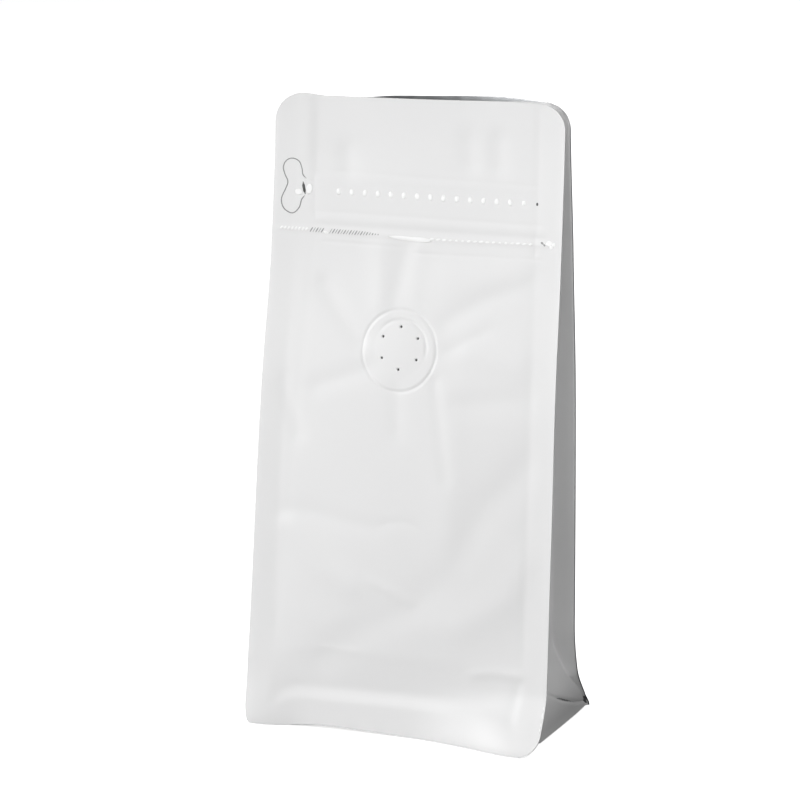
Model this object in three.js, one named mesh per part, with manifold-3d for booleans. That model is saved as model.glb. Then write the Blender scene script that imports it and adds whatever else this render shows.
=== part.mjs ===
// An empty flat-bottom pouch of white laminated foil, standing with its mouth a little open.
//
// Millimetres. The origin is on the floor in the middle of the base, the front panel faces -Y,
// +X runs to the right as one looks at the front, and +Z is up.
//
// The pouch is one hollow solid. Its wall is what is left between two lofts: the outside, which has four
// flat side fins and a deep gusset fold on each side, and the cavity inside it. A vaulted bottom web divides
// the cavity, so that below it the front, back and sides go on down to the floor as a skirt.

import * as THREE from 'three';
import { mergeVertices } from 'three/addons/utils/BufferGeometryUtils.js';
import Module from 'manifold-3d';

const wasm = await Module();
wasm.setup();

// ---------------------------------------------------------------- driving dimensions

const FILM = 0.5; // wall of the solid; the real laminate is thinner
const HEIGHT = 183.6;
const SEAL = 7; // width of the four side fins
const OVERCUT = 1; // how far a cutter runs past what it cuts

// Fin edges from the floor to the mouth: half the width, and how far forward and back the fins stand.
const STATIONS = [
  { z: 0, half: 45, front: -24.5, back: 24.5 },
  { z: 6, half: 45.2, front: -24.1, back: 18.6 },
  { z: 15, half: 45.2, front: -23.3, back: 11.2 },
  { z: 30, half: 45.3, front: -21.4, back: 7.5 },
  { z: 60, half: 45.2, front: -17.9, back: 7.4 },
  { z: 100, half: 44.7, front: -13.2, back: 7.9 },
  { z: 140, half: 44.1, front: -6.2, back: 6.2 },
  { z: HEIGHT, half: 43.9, front: -2.5, back: 2.5 },
];

// How far each wall departs from a straight line between its fins, and how deep the gussets fold in.
const FORMS = [
  { z: 0, frontBow: 0, backBow: -2, fold: 0, sideBow: 0.6 },
  { z: 10, frontBow: 0, backBow: 2, fold: 0, sideBow: 1.6 },
  { z: 20, frontBow: 0.4, backBow: 5, fold: 7, sideBow: 1.6 },
  { z: 35, frontBow: 1.6, backBow: 7, fold: 14, sideBow: 0 },
  { z: 60, frontBow: 2, backBow: 8, fold: 18, sideBow: 0 },
  { z: 110, frontBow: 1, backBow: 7.5, fold: 19.5, sideBow: 0 },
  { z: 145, frontBow: 0, backBow: 6.5, fold: 20.5, sideBow: 0 },
  { z: HEIGHT, frontBow: 0, backBow: 7, fold: 21, sideBow: 0 },
];

// Skirt below the bottom web: its crease climbs from each corner along a slanting seal.
const SKIRT = 11;
const SLANT = 17.5; // run of the slanting seal along the wall, from the corner
const BAND = 13; // height of the hollow band that the bent crease leaves above it
const BAND_DEPTH = 1.5;
const SKIRT_SPLAY = [
  // where the front skirt meets the floor, forward (-) or back (+) of the fins
  { x: -45, out: 0 },
  { x: -28, out: 5.2 },
  { x: 4, out: 1 },
  { x: 37, out: -8 },
  { x: 45, out: -6 },
];
const SPLAY_HEIGHT = 17;
const SPLAY_POWER = 1.4;
const BACK_FLARE = 3.5; // how far the back fins turn out near the floor
const FLARE_HEIGHT = 26;
const FRONT_CORNER_SEAL = 4; // width of the fins at the floor, where the sides run out towards the corners
const BACK_CORNER_SEAL = 2.5;
const CORNER_SEAL_HEIGHT = 20;
const CAMBER = 0.1; // no panel is quite flat
const SHARPEST = 0.12; // cosine of half the sharpest turn that a wall takes without a spike
const VAULT = 1.2; // rise of the bottom web towards its middle

// Rounded corners: side is 1 on the right, up is 1 at the top. At the bottom only the front fins are rounded.
const THROUGH = 60; // further than the pouch is deep
const CORNERS = [
  { side: 1, up: 1, radius: 7, behind: THROUGH },
  { side: -1, up: 1, radius: 7.5, behind: THROUGH },
  { side: 1, up: -1, radius: 8, behind: -25.5 },
  { side: -1, up: -1, radius: 2, behind: -22 },
];

// One-way valve behind the front film: radii of its print, of the ring inside that, of the flange and the
// stem, and its depth. The print's rings stand proud of its step, and the step is set into the film.
const VALVE = { x: -2.9, z: 112.6, imprint: 11.5, inner: 8, flange: 10.4, stem: 6, depth: 2.4, sides: 32 };
const PRINT = { rim: 0.4, ring: 0.35, step: 0.15, slope: 0.4, sunk: 0.3 };
const PINHOLE = { circle: 6.06, radius: 0.4, count: 6, sides: 8 };
const GAP = 0.3; // air between separate pieces

// Ridges of the zipper pocket on the front panel: span in x, height of the middle, breadth, and how proud.
const RIDGES = [
  { from: -30.5, to: 38, z: 155.6, breadth: 11.6, proud: 0.22 }, // tear band
  { from: -41.4, to: 40.2, z: 145, breadth: 1.7, proud: 0.55 }, // zipper rib
  { from: -29, to: 38.4, z: 141.2, breadth: 1.1, proud: 0.35 }, // lower edge of the pocket
];

// Die-cut pull tab: two round lobes joined by a waist, with a neck towards the tear band.
const TAB = { x: -38.3, z: 157.6, lobe: 3.3, reach: 4.6, waist: 2.1, neck: 1.5, neckLength: 4.6, slit: 0.35 };

const ZIPPER = { half: 29, z: 145, height: 11, tape: 0.5, rib: 1.3, ribHalf: 0.7, ribs: [-2.4, 2.4] };

const PANEL_STEPS = 14;
const FOLD_STEPS = 4;
const RIDGE_STEPS = 12;
const WEB_STEPS = 14;
const LEVELS = [
  0, 3, 6, 9, 11, 13, 16, 20, 24, 29, 35, 43, 52, 64, 78, 94, 110, 125, 136, 142, 148, 155, 162, 171, HEIGHT,
];

const colour = { film: 0xf1f1f1, plastic: 0xf4f4f2, clear: 0xe9ebec };

// ---------------------------------------------------------------- smooth tables

// Value of rows[..][key] at position p, on a smooth curve through the rows.
function along(rows, key, p, axis = 'z') {
  const last = rows.length - 1;
  if (p <= rows[0][axis]) return rows[0][key];
  if (p >= rows[last][axis]) return rows[last][key];
  const i = rows.findIndex((row) => row[axis] > p) - 1;
  const slope = (j) => {
    if (j === 0 || j === last) return 0;
    const before = (rows[j][key] - rows[j - 1][key]) / (rows[j][axis] - rows[j - 1][axis]);
    const after = (rows[j + 1][key] - rows[j][key]) / (rows[j + 1][axis] - rows[j][axis]);
    return before * after > 0 ? (2 * before * after) / (before + after) : 0;
  };
  const run = rows[i + 1][axis] - rows[i][axis];
  const t = (p - rows[i][axis]) / run;
  return (
    rows[i][key] * (1 + 2 * t) * (1 - t) ** 2 +
    rows[i + 1][key] * t ** 2 * (3 - 2 * t) +
    run * (slope(i) * t * (1 - t) ** 2 - slope(i + 1) * t ** 2 * (1 - t))
  );
}

const evenly = (from, to, steps) => {
  return Array.from({ length: steps + 1 }, (_, i) => from + ((to - from) * i) / steps);
};
const clamp01 = (v) => Math.min(1, Math.max(0, v));
const smooth = (v) => clamp01(v) ** 2 * (3 - 2 * clamp01(v));

const finEdge = (z) => along(STATIONS, 'half', z);
const sealWidth = (corner, z) => corner + (SEAL - corner) * smooth(z / CORNER_SEAL_HEIGHT);
const frontSealLine = (z) => finEdge(z) - sealWidth(FRONT_CORNER_SEAL, z);
const backSealLine = (z) => finEdge(z) - sealWidth(BACK_CORNER_SEAL, z);

// ---------------------------------------------------------------- the walls

// 1 in the middle of a panel, 0 at its seals and on its fins.
const crown = (x, z) => clamp01(1 - (x / (finEdge(z) - SEAL)) ** 2);

// Height of the skirt's crease at a distance from the nearest corner of the base.
const creaseHeight = (fromCorner) => SKIRT * Math.sin((Math.PI / 2) * clamp01(fromCorner / SLANT));

// Slight rounding of a whole panel, fins and all.
const camber = (x, z) => CAMBER * (1 - (x / finEdge(z)) ** 2);

// Outer face of the front web.
function frontFace(x, z) {
  const crease = creaseHeight(finEdge(0) - Math.abs(x));
  const splay = along(SKIRT_SPLAY, 'out', x, 'x') * clamp01(1 - z / SPLAY_HEIGHT) ** SPLAY_POWER;
  const above = (z - crease) / BAND;
  const band = above > 0 && above < 1 ? BAND_DEPTH * Math.sin(Math.PI * above) * crown(x, z) : 0;
  const bow = along(FORMS, 'frontBow', z) * crown(x, z) + camber(x, z);
  return along(STATIONS, 'front', z) - bow + splay + band;
}

// Outer face of the back web.
function backFace(x, z) {
  const seal = backSealLine(z);
  const onFin = clamp01((Math.abs(x) - seal) / (finEdge(z) - seal));
  const flare = BACK_FLARE * (1 - smooth(z / FLARE_HEIGHT)) * (1 - onFin);
  const bow = along(FORMS, 'backBow', z) * crown(x, z) + camber(x, z);
  return along(STATIONS, 'back', z) + bow - flare;
}

// Middle of a gusset's film at a height, from its front seal in to the fold and out to its back seal.
// side is 1 on the right and -1 on the left.
function gussetLine(side, z) {
  const frontSeal = frontSealLine(z);
  const backSeal = backSealLine(z);
  const front = frontFace(side * frontSeal, z) + 1.5 * FILM;
  const back = backFace(side * backSeal, z) - 1.5 * FILM;
  const fold = along(FORMS, 'fold', z);
  const bow = along(FORMS, 'sideBow', z);
  const points = [];
  for (let i = 0; i <= 2 * FOLD_STEPS; i++) {
    const share = i / (2 * FOLD_STEPS);
    const inward = 1 - Math.abs(1 - 2 * share);
    const out = bow * (1 - (1 - inward) ** 3) + CAMBER * Math.sin(Math.PI * inward);
    const seal = THREE.MathUtils.lerp(frontSeal, backSeal, share);
    const y = THREE.MathUtils.lerp(front, back, share);
    points.push(new THREE.Vector2(side * (seal - fold * inward + out), y));
  }
  return points;
}

// A line moved sideways, to its right when distance is positive.
function offsetLine(line, distance) {
  return line.map((point, i) => {
    const into = point.clone().sub(line[Math.max(i - 1, 0)]).normalize();
    const out = line[Math.min(i + 1, line.length - 1)].clone().sub(point).normalize();
    const way = into.clone().add(out).normalize();
    const bend = Math.max(way.dot(i ? into : out), SHARPEST);
    return new THREE.Vector2(point.x + (way.y * distance) / bend, point.y - (way.x * distance) / bend);
  });
}

// Points across a panel from -half to +half.
const across = (half, face) => evenly(-half, half, PANEL_STEPS).map((x) => new THREE.Vector2(x, face(x)));

// The outside of one side from front to back: round the front fin, into the gusset and round the back fin.
function outerSide(side, z) {
  const edge = side * finEdge(z);
  const frontSeal = side * (frontSealLine(z) + FILM / 2);
  const backSeal = side * (backSealLine(z) + FILM / 2);
  return [
    new THREE.Vector2(edge, frontFace(edge, z) + 2 * FILM),
    new THREE.Vector2(frontSeal, frontFace(frontSeal, z) + 2 * FILM),
    ...offsetLine(gussetLine(side, z), (side * FILM) / 2).slice(1, -1),
    new THREE.Vector2(backSeal, backFace(backSeal, z) - 2 * FILM),
    new THREE.Vector2(edge, backFace(edge, z) - 2 * FILM),
  ];
}

function outerRing(z) {
  const edge = finEdge(z);
  const front = across(edge, (x) => frontFace(x, z));
  const back = across(edge, (x) => backFace(x, z)).reverse();
  return [...front, ...outerSide(1, z), ...back, ...outerSide(-1, z).reverse()];
}

function innerRing(z) {
  const fold = (side) => offsetLine(gussetLine(side, z), (-side * FILM) / 2).slice(1, -1);
  const front = across(frontSealLine(z), (x) => frontFace(x, z) + FILM);
  const back = across(backSealLine(z), (x) => backFace(x, z) - FILM).reverse();
  return [...front, ...fold(1), ...back, ...fold(-1).reverse()];
}

// ---------------------------------------------------------------- solids

function toManifold(geometry) {
  const bare = geometry.clone();
  bare.deleteAttribute('normal');
  bare.deleteAttribute('uv');
  const merged = mergeVertices(bare, 1e-4);
  return new wasm.Manifold(
    new wasm.Mesh({
      numProp: 3,
      vertProperties: new Float32Array(merged.attributes.position.array),
      triVerts: new Uint32Array(merged.index.array),
    }),
  );
}

function toGeometry(solid) {
  const mesh = solid.getMesh();
  const geometry = new THREE.BufferGeometry();
  geometry.setAttribute('position', new THREE.BufferAttribute(new Float32Array(mesh.vertProperties), 3));
  geometry.setIndex(new THREE.BufferAttribute(new Uint32Array(mesh.triVerts), 1));
  geometry.computeVertexNormals();
  return geometry;
}

function meshGeometry(vertices, faces) {
  const geometry = new THREE.BufferGeometry();
  geometry.setAttribute('position', new THREE.Float32BufferAttribute(vertices.flat(), 3));
  geometry.setIndex(faces.flat());
  return geometry;
}

// Closed solid through rings of equal length, one at each level; place(point, level) gives its corners.
function loft(levels, ringAt, place) {
  const rings = levels.map(ringAt);
  const count = rings[0].length;
  const vertices = rings.flatMap((ring, k) => ring.map((p) => place(p, levels[k])));
  const faces = [];
  for (let k = 0; k < levels.length - 1; k++) {
    for (let i = 0; i < count; i++) {
      const a = k * count + i;
      const b = k * count + ((i + 1) % count);
      faces.push([a, b, b + count], [a, b + count, a + count]);
    }
  }
  const end = (levels.length - 1) * count;
  for (const [a, b, c] of THREE.ShapeUtils.triangulateShape(rings[0], [])) faces.push([c, b, a]);
  for (const [a, b, c] of THREE.ShapeUtils.triangulateShape(rings.at(-1), [])) {
    faces.push([end + a, end + b, end + c]);
  }
  return toManifold(meshGeometry(vertices, faces));
}

const upright = (p, z) => [p.x, p.y, z];
const lengthwise = (p, x) => [x, p.x, p.y];

// The bottom web as a slab wider than the pouch, flat in the middle and falling to the four corners.
function bottomWeb() {
  const reach = { x: finEdge(0) + 6, y: 34 };
  const heightAt = (x, y) => {
    const fromSide = Math.max(finEdge(0) - Math.abs(x), 0);
    const fromFront = Math.max(-STATIONS[0].front - Math.abs(y), 0);
    const vault = VAULT * (1 - (x / reach.x) ** 2 / 2 - (y / reach.y) ** 2 / 2);
    return FILM + creaseHeight(fromSide + fromFront) * (1 - (FILM * 2) / SKIRT) + vault - VAULT / 2;
  };
  const columns = evenly(-reach.x, reach.x, WEB_STEPS);
  const rows = evenly(-reach.y, reach.y, WEB_STEPS);
  const slabRing = (x) => [
    ...rows.map((y) => new THREE.Vector2(y, heightAt(x, y) - FILM / 2)),
    ...rows.map((y) => new THREE.Vector2(y, heightAt(x, y) + FILM / 2)).reverse(),
  ];
  return loft(columns, slabRing, lengthwise);
}

// A strip lying on the front face, from one x to another; its feet are sunk a little into the wall.
function ridge({ from, to, z, breadth, proud }) {
  const chamfer = Math.min(proud, breadth / 4);
  const corner = (x, level, out) => new THREE.Vector2(frontFace(x, level) - out, level);
  const low = z - breadth / 2;
  const high = z + breadth / 2;
  const section = (x) => [
    corner(x, high, -FILM / 2),
    corner(x, high - chamfer, proud),
    corner(x, low + chamfer, proud),
    corner(x, low, -FILM / 2),
  ];
  return loft(evenly(from, to, RIDGE_STEPS), section, lengthwise);
}

// What a rounded corner takes away.
function cornerCutter({ side, up, radius, behind }) {
  const level = up > 0 ? HEIGHT : 0;
  const edge = finEdge(level);
  const centre = { x: side * (edge - radius), z: level - up * radius };
  const start = side > 0 ? 0 : Math.PI;
  const shape = new THREE.Shape();
  shape.moveTo(centre.x, level + up * OVERCUT);
  shape.lineTo(side * (edge + OVERCUT), level + up * OVERCUT);
  shape.lineTo(side * (edge + OVERCUT), centre.z);
  shape.lineTo(side * edge, centre.z);
  shape.absarc(centre.x, centre.z, radius, start, (up * Math.PI) / 2, side * up < 0);
  shape.closePath();
  const geometry = new THREE.ExtrudeGeometry(shape, { depth: behind + THROUGH, bevelEnabled: false });
  geometry.rotateX(Math.PI / 2);
  geometry.translate(0, behind, 0);
  return toManifold(geometry);
}

// Turns a shape so that its +Z points out of the front panel, and moves it to a place there.
function ontoPanel(geometry, { x, z }) {
  const reach = VALVE.inner;
  const lean = Math.atan2(frontFace(x, z + reach) - frontFace(x, z - reach), 2 * reach);
  geometry.rotateX(Math.PI / 2 - lean);
  geometry.translate(x, frontFace(x, z), z);
  return geometry;
}

// Solid of revolution on the panel at the valve, from radii and heights above the film.
function turned(profile) {
  const points = profile.map(([radius, height]) => new THREE.Vector2(radius, height));
  const geometry = new THREE.LatheGeometry(points, VALVE.sides);
  geometry.rotateX(Math.PI / 2);
  return toManifold(ontoPanel(geometry, VALVE));
}

// Print of the valve in the film: a low round step with a rim round it and a ring on it.
function valveImprint() {
  const { imprint, inner } = VALVE;
  const { rim, ring, step, slope, sunk } = PRINT;
  return turned([
    [0, -sunk],
    [imprint, -sunk],
    [imprint, 0],
    [imprint - slope, rim],
    [imprint - 2 * slope, step],
    [inner + slope, step],
    [inner, ring],
    [inner - slope, step],
    [0, step],
  ]);
}

function pinholes() {
  const holes = [];
  for (let i = 0; i < PINHOLE.count; i++) {
    const turn = Math.PI / 2 + (i * 2 * Math.PI) / PINHOLE.count;
    const hole = new THREE.CylinderGeometry(PINHOLE.radius, PINHOLE.radius, 4 * FILM, PINHOLE.sides);
    hole.rotateX(Math.PI / 2);
    hole.translate(PINHOLE.circle * Math.cos(turn), PINHOLE.circle * Math.sin(turn), 0);
    holes.push(toManifold(ontoPanel(hole, VALVE)));
  }
  return holes.reduce((all, hole) => all.add(hole));
}

// Outline of the pull tab about its own middle, grown outwards by a margin; the neck runs out to the right.
function tabOutline(margin) {
  const { lobe, reach, waist, neck, neckLength } = TAB;
  const radius = lobe + margin;
  const side = waist + margin;
  const opening = Math.acos(side / radius);
  const down = -Math.PI / 2;
  const up = Math.PI / 2;
  const shape = new THREE.Shape();
  shape.absarc(0, reach, radius, down + opening, down - opening, false);
  shape.absarc(0, -reach, radius, up + opening, up - opening, false);
  shape.lineTo(side, -neck - margin);
  shape.lineTo(neckLength, -neck - margin);
  shape.lineTo(neckLength, neck + margin);
  shape.lineTo(side, neck + margin);
  shape.closePath();
  return shape;
}

// The die cut round the tab, through the film and open where the neck joins the tear band.
function tabSlit() {
  const slab = (margin, thickness) => {
    const options = { depth: 2 * thickness, bevelEnabled: false, curveSegments: 10 };
    const geometry = new THREE.ExtrudeGeometry(tabOutline(margin), options);
    geometry.translate(0, 0, -thickness);
    return toManifold(ontoPanel(geometry, TAB));
  };
  return slab(TAB.slit / 2, FILM).subtract(slab(-TAB.slit / 2, 2 * FILM));
}

function pouchSolid() {
  const past = [-OVERCUT, ...LEVELS, HEIGHT + OVERCUT];
  const outside = loft(LEVELS, outerRing, upright);
  const cavity = loft(past, innerRing, upright).subtract(bottomWeb());
  let pouch = outside.subtract(cavity);
  for (const corner of CORNERS) pouch = pouch.subtract(cornerCutter(corner));
  for (const strip of RIDGES) pouch = pouch.add(ridge(strip));
  return pouch.add(valveImprint()).subtract(pinholes()).subtract(tabSlit());
}

// The valve behind the front film: a flange with a short stem towards the inside.
function valveSolid() {
  const { flange, stem, depth } = VALVE;
  const face = -FILM - 2 * GAP; // the flange is flat, and the film in front of it is bowed
  const back = face - depth / 3;
  const end = face - depth;
  return turned([[0, end], [stem, end], [stem + 1, back], [flange, back], [flange, face], [0, face]]);
}

// Press-to-close strip on the inside of the front panel: a flat tape with two ribs.
function zipperSolid() {
  const { half, z, height, tape, rib, ribHalf, ribs } = ZIPPER;
  const low = z - height / 2;
  const high = z + height / 2;
  const at = (level, thickness) => new THREE.Vector2(frontFace(0, level) + FILM + GAP + thickness, level);
  const ribbed = ribs.flatMap((middle) => [
    at(z + middle - ribHalf, tape),
    at(z + middle - ribHalf, rib),
    at(z + middle + ribHalf, rib),
    at(z + middle + ribHalf, tape),
  ]);
  const section = [at(low, 0), at(low, tape), ...ribbed, at(high, tape), at(high, 0)];
  return loft([-half, half], () => section, lengthwise);
}

// ---------------------------------------------------------------- scene graph

function piece(name, solid, material) {
  const mesh = new THREE.Mesh(toGeometry(solid), new THREE.MeshStandardMaterial(material));
  mesh.name = name;
  return mesh;
}

const group = new THREE.Group();
group.add(
  piece('pouch', pouchSolid(), { color: colour.film, roughness: 0.55, metalness: 0 }),
  piece('valve', valveSolid(), { color: colour.plastic, roughness: 0.45, metalness: 0 }),
  piece('zipper', zipperSolid(), { color: colour.clear, roughness: 0.35, metalness: 0 }),
);

// The base is measured from the line between the fins; the origin lies in the middle of the whole.
group.position.y = -new THREE.Box3().setFromObject(group).getCenter(new THREE.Vector3()).y;

export default group;
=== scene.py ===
# %% [markdown]
# # A flat-bottom foil pouch
# The real pouch is one web of white laminate, about a tenth of a millimetre thick, folded and sealed into a
# box with a mouth. Nothing in it is thick, so everything the eye reads is the way thin film bends: four flat
# fins, deep folds in the sides, creases over the base, and a soft play of dents on the front.
# A cloth simulation could fold such a bag, but each fold would land where it likes. We build it the way the
# factory does, one web at a time: front, back, two gussets and the bottom.

# %% Load the frame
import bpy
import bmesh
import math
import numpy as np
from mathutils import Matrix, Vector


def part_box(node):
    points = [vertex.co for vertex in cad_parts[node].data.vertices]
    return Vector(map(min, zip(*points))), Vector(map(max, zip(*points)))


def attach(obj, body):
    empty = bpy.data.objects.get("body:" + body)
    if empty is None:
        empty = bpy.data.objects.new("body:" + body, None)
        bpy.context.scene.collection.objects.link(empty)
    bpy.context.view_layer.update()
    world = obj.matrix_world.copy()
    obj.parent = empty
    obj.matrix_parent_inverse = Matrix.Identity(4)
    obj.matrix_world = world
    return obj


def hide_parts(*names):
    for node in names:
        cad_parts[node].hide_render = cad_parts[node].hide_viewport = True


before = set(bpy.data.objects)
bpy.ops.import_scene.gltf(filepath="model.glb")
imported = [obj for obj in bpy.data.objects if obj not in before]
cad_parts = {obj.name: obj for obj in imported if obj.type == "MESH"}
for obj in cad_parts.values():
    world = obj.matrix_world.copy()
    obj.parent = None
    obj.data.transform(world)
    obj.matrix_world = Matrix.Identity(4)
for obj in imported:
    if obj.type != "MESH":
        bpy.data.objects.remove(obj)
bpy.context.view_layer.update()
print("CAD nodes:", sorted(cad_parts))

# %% [markdown]
# ## The measures of the bag
# All measures here are millimetres, as a bag maker would write them, and turn into metres in one place only.
# The bag has no one section that could be extruded, because its fins stand elsewhere at every height. So each
# table gives a measure at a few heights, and a smooth curve runs through them. The curve never overshoots,
# so a fin can't bulge between two rows. In all of them x runs to the right, y to the back and z up.

# %% Measures of the fins
HEIGHT = 183.6
SEAL = 7.0  # width of a side fin
FILM = 0.35  # thickness the film is shown with
SOLID_WALL = 0.5  # wall of the solid that the film stands for

LEVELS = (0, 6, 15, 30, 60, 100, 140, HEIGHT)
FIN_EDGE = (45, 45.2, 45.2, 45.3, 45.2, 44.7, 44.1, 43.9)  # x of a fin's edge
FRONT_FIN = (-24.5, -24.1, -23.3, -21.4, -17.9, -13.2, -6.2, -2.5)  # y of the front fins
BACK_FIN = (24.5, 18.6, 11.2, 7.5, 7.4, 7.9, 6.2, 2.5)  # y of the back fins


# %% A curve through a table
def curve(places, values):
    """A smooth curve through a table, as a function of a number or an array."""
    places = np.array(places, float)
    values = np.array(values, float)
    step = np.diff(values) / np.diff(places)
    slope = np.zeros(len(places))
    before, after = step[:-1], step[1:]
    together = before * after > 0
    slope[1:-1][together] = (2 * before * after)[together] / (before + after)[together]

    def at(p):
        i = np.clip(np.searchsorted(places, p, side="right") - 1, 0, len(places) - 2)
        run = places[i + 1] - places[i]
        t = np.clip((p - places[i]) / run, 0, 1)
        rise = values[i] * (1 + 2 * t) * (1 - t) ** 2 + values[i + 1] * t**2 * (3 - 2 * t)
        return rise + run * (slope[i] * t * (1 - t) ** 2 - slope[i + 1] * t**2 * (1 - t))

    return at


fin_edge = curve(LEVELS, FIN_EDGE)
front_fin = curve(LEVELS, FRONT_FIN)
back_fin = curve(LEVELS, BACK_FIN)
print("fin to fin at the floor:", 2 * float(fin_edge(0.0)), "mm")

# %% [markdown]
# ## The walls as functions
# A wall of film is a height field: for every place across it and up it, how far forward it stands. It could
# be sculpted, but then the two layers of a fin would have to be matched by eye. The same functions shape
# every web, so a fin's layers always meet, and they agree with the solid that carries the weight and the
# collisions.

# %% Helpers for the walls
SLANT = 17.5  # run of the slanting corner seal, from the bag's corner
CAMBER = 0.1


def smooth(v):
    """Runs from 0 to 1 with a soft start and end."""
    v = np.clip(v, 0, 1)
    return v * v * (3 - 2 * v)


def crown(x, z):
    """1 in the middle of a panel, 0 at its seals and on its fins."""
    return np.clip(1 - (x / (fin_edge(z) - SEAL)) ** 2, 0, 1)


def crease_height(from_corner, height):
    """Height of the bottom web's crease: it falls to the floor at the bag's corner."""
    return height * np.sin(np.pi / 2 * np.clip(from_corner / SLANT, 0, 1))


def camber(x, z):
    return CAMBER * (1 - (x / fin_edge(z)) ** 2)


# %% Front wall
FORM_LEVELS = (0, 10, 20, 35, 60, 110, 145, HEIGHT)
FRONT_BOW = (0, 0, 0.4, 1.6, 2, 1, 0, 0)  # how far the panel bows out between its seals
FRONT_CREASE = 8.5  # height of the crease over the bottom web
BAND = 15.5  # height of the hollow band above the crease
BAND_DEPTH = 1.1
BAND_DEEPEST = 0.3  # share of the band's height at which it is deepest
SPLAY_AT = (-45, -28, 4, 22, 37, 45)
SPLAY_OUT = (-2.0, 0.4, 0.2, -3.2, -7.2, -7.6)  # how far back (+) or forward (-) the skirt swings there
SPLAY_HEIGHT = 17.0
FIN_TURN = 0.35  # how far the front fins' edges stand forward of their seals
EDGE_CURL = 0.12  # how far the last millimetre of a front fin curls

front_bow = curve(FORM_LEVELS, FRONT_BOW)
splay_out = curve(SPLAY_AT, SPLAY_OUT)


def front_wall(x, z):
    """Outer face of the front web, without its fine dents."""
    crease = crease_height(fin_edge(0.0) - np.abs(x), FRONT_CREASE)
    splay = splay_out(x) * smooth(1 - z / SPLAY_HEIGHT)
    above = np.clip((z - crease) / BAND, 0, 1)
    band = BAND_DEPTH * smooth(above / BAND_DEEPEST) * (1 - above) / (1 - BAND_DEEPEST) * crown(x, z) ** 0.5
    from_edge = fin_edge(z) - np.abs(x)
    fin = np.clip(1 - from_edge / SEAL, 0, 1) * smooth(z / SPLAY_HEIGHT)
    curl = EDGE_CURL * np.sign(x) * np.clip(1 - from_edge, 0, 1)
    return front_fin(z) - front_bow(z) * crown(x, z) - camber(x, z) + splay + band - FIN_TURN * fin - curl


# %% Back wall
BACK_BOW = (-2, 2, 5, 7, 8, 7.5, 6.5, 7)
BACK_CORNER_SEAL = 0.7  # width of the back's side seal at the floor
BACK_SEAL_START = 6.0  # up to here it stays that narrow
CORNER_SEAL_HEIGHT = 20.0  # over this height a side seal grows to its full width
BACK_FLARE = 3.5
BACK_FLARE_SEAL = 2.5  # no flare that close to the back's edge
FLARE_HEIGHT = 26.0

back_bow = curve(FORM_LEVELS, BACK_BOW)


def back_seal_width(z):
    return BACK_CORNER_SEAL + (SEAL - BACK_CORNER_SEAL) * smooth((z - BACK_SEAL_START) / CORNER_SEAL_HEIGHT)


def back_wall(x, z):
    """Outer face of the back web."""
    seal = fin_edge(z) - np.maximum(back_seal_width(z), BACK_FLARE_SEAL)
    on_fin = np.clip((np.abs(x) - seal) / (fin_edge(z) - seal), 0, 1)
    flare = BACK_FLARE * (1 - smooth(z / FLARE_HEIGHT)) * (1 - on_fin)
    return back_fin(z) + back_bow(z) * crown(x, z) + camber(x, z) - flare


# %% Place in the frame
to_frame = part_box("pouch")[1].y * 1000 - BACK_FIN[0] + SOLID_WALL / 2
print("the frame's origin lies", round(to_frame, 2), "mm in front of the line between the fins")

# %% [markdown]
# ## Dents, creases and prints
# Film that was folded, filled and emptied keeps a memory of it. A noise texture in a bump map would give
# some unevenness, but not these dents, and not in the mesh. So each dent or crease is a line along which the
# film stands a little out or in, and its section is a bell: a width and a height say all of it. A few tenths
# of a millimetre are enough, because a broad light makes even a slope of one in thirty show.


# %% A line in film
def bell(x, z, points, width):
    """1 on a line through the points, falling off smoothly on both sides and past its ends."""
    nearest = np.full(np.shape(x), 1e9)
    for (x0, z0), (x1, z1) in zip(points[:-1], points[1:]):
        length = (x1 - x0) ** 2 + (z1 - z0) ** 2
        t = np.clip(((x - x0) * (x1 - x0) + (z - z0) * (z1 - z0)) / length, 0, 1)
        nearest = np.minimum(nearest, (x - x0 - t * (x1 - x0)) ** 2 + (z - z0 - t * (z1 - z0)) ** 2)
    return np.exp(-nearest / width**2)


def lines(x, z, table):
    out = np.zeros(np.shape(x))
    for width, height, points in table:
        out = out + height * bell(x, z, points, width)
    return out


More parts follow.
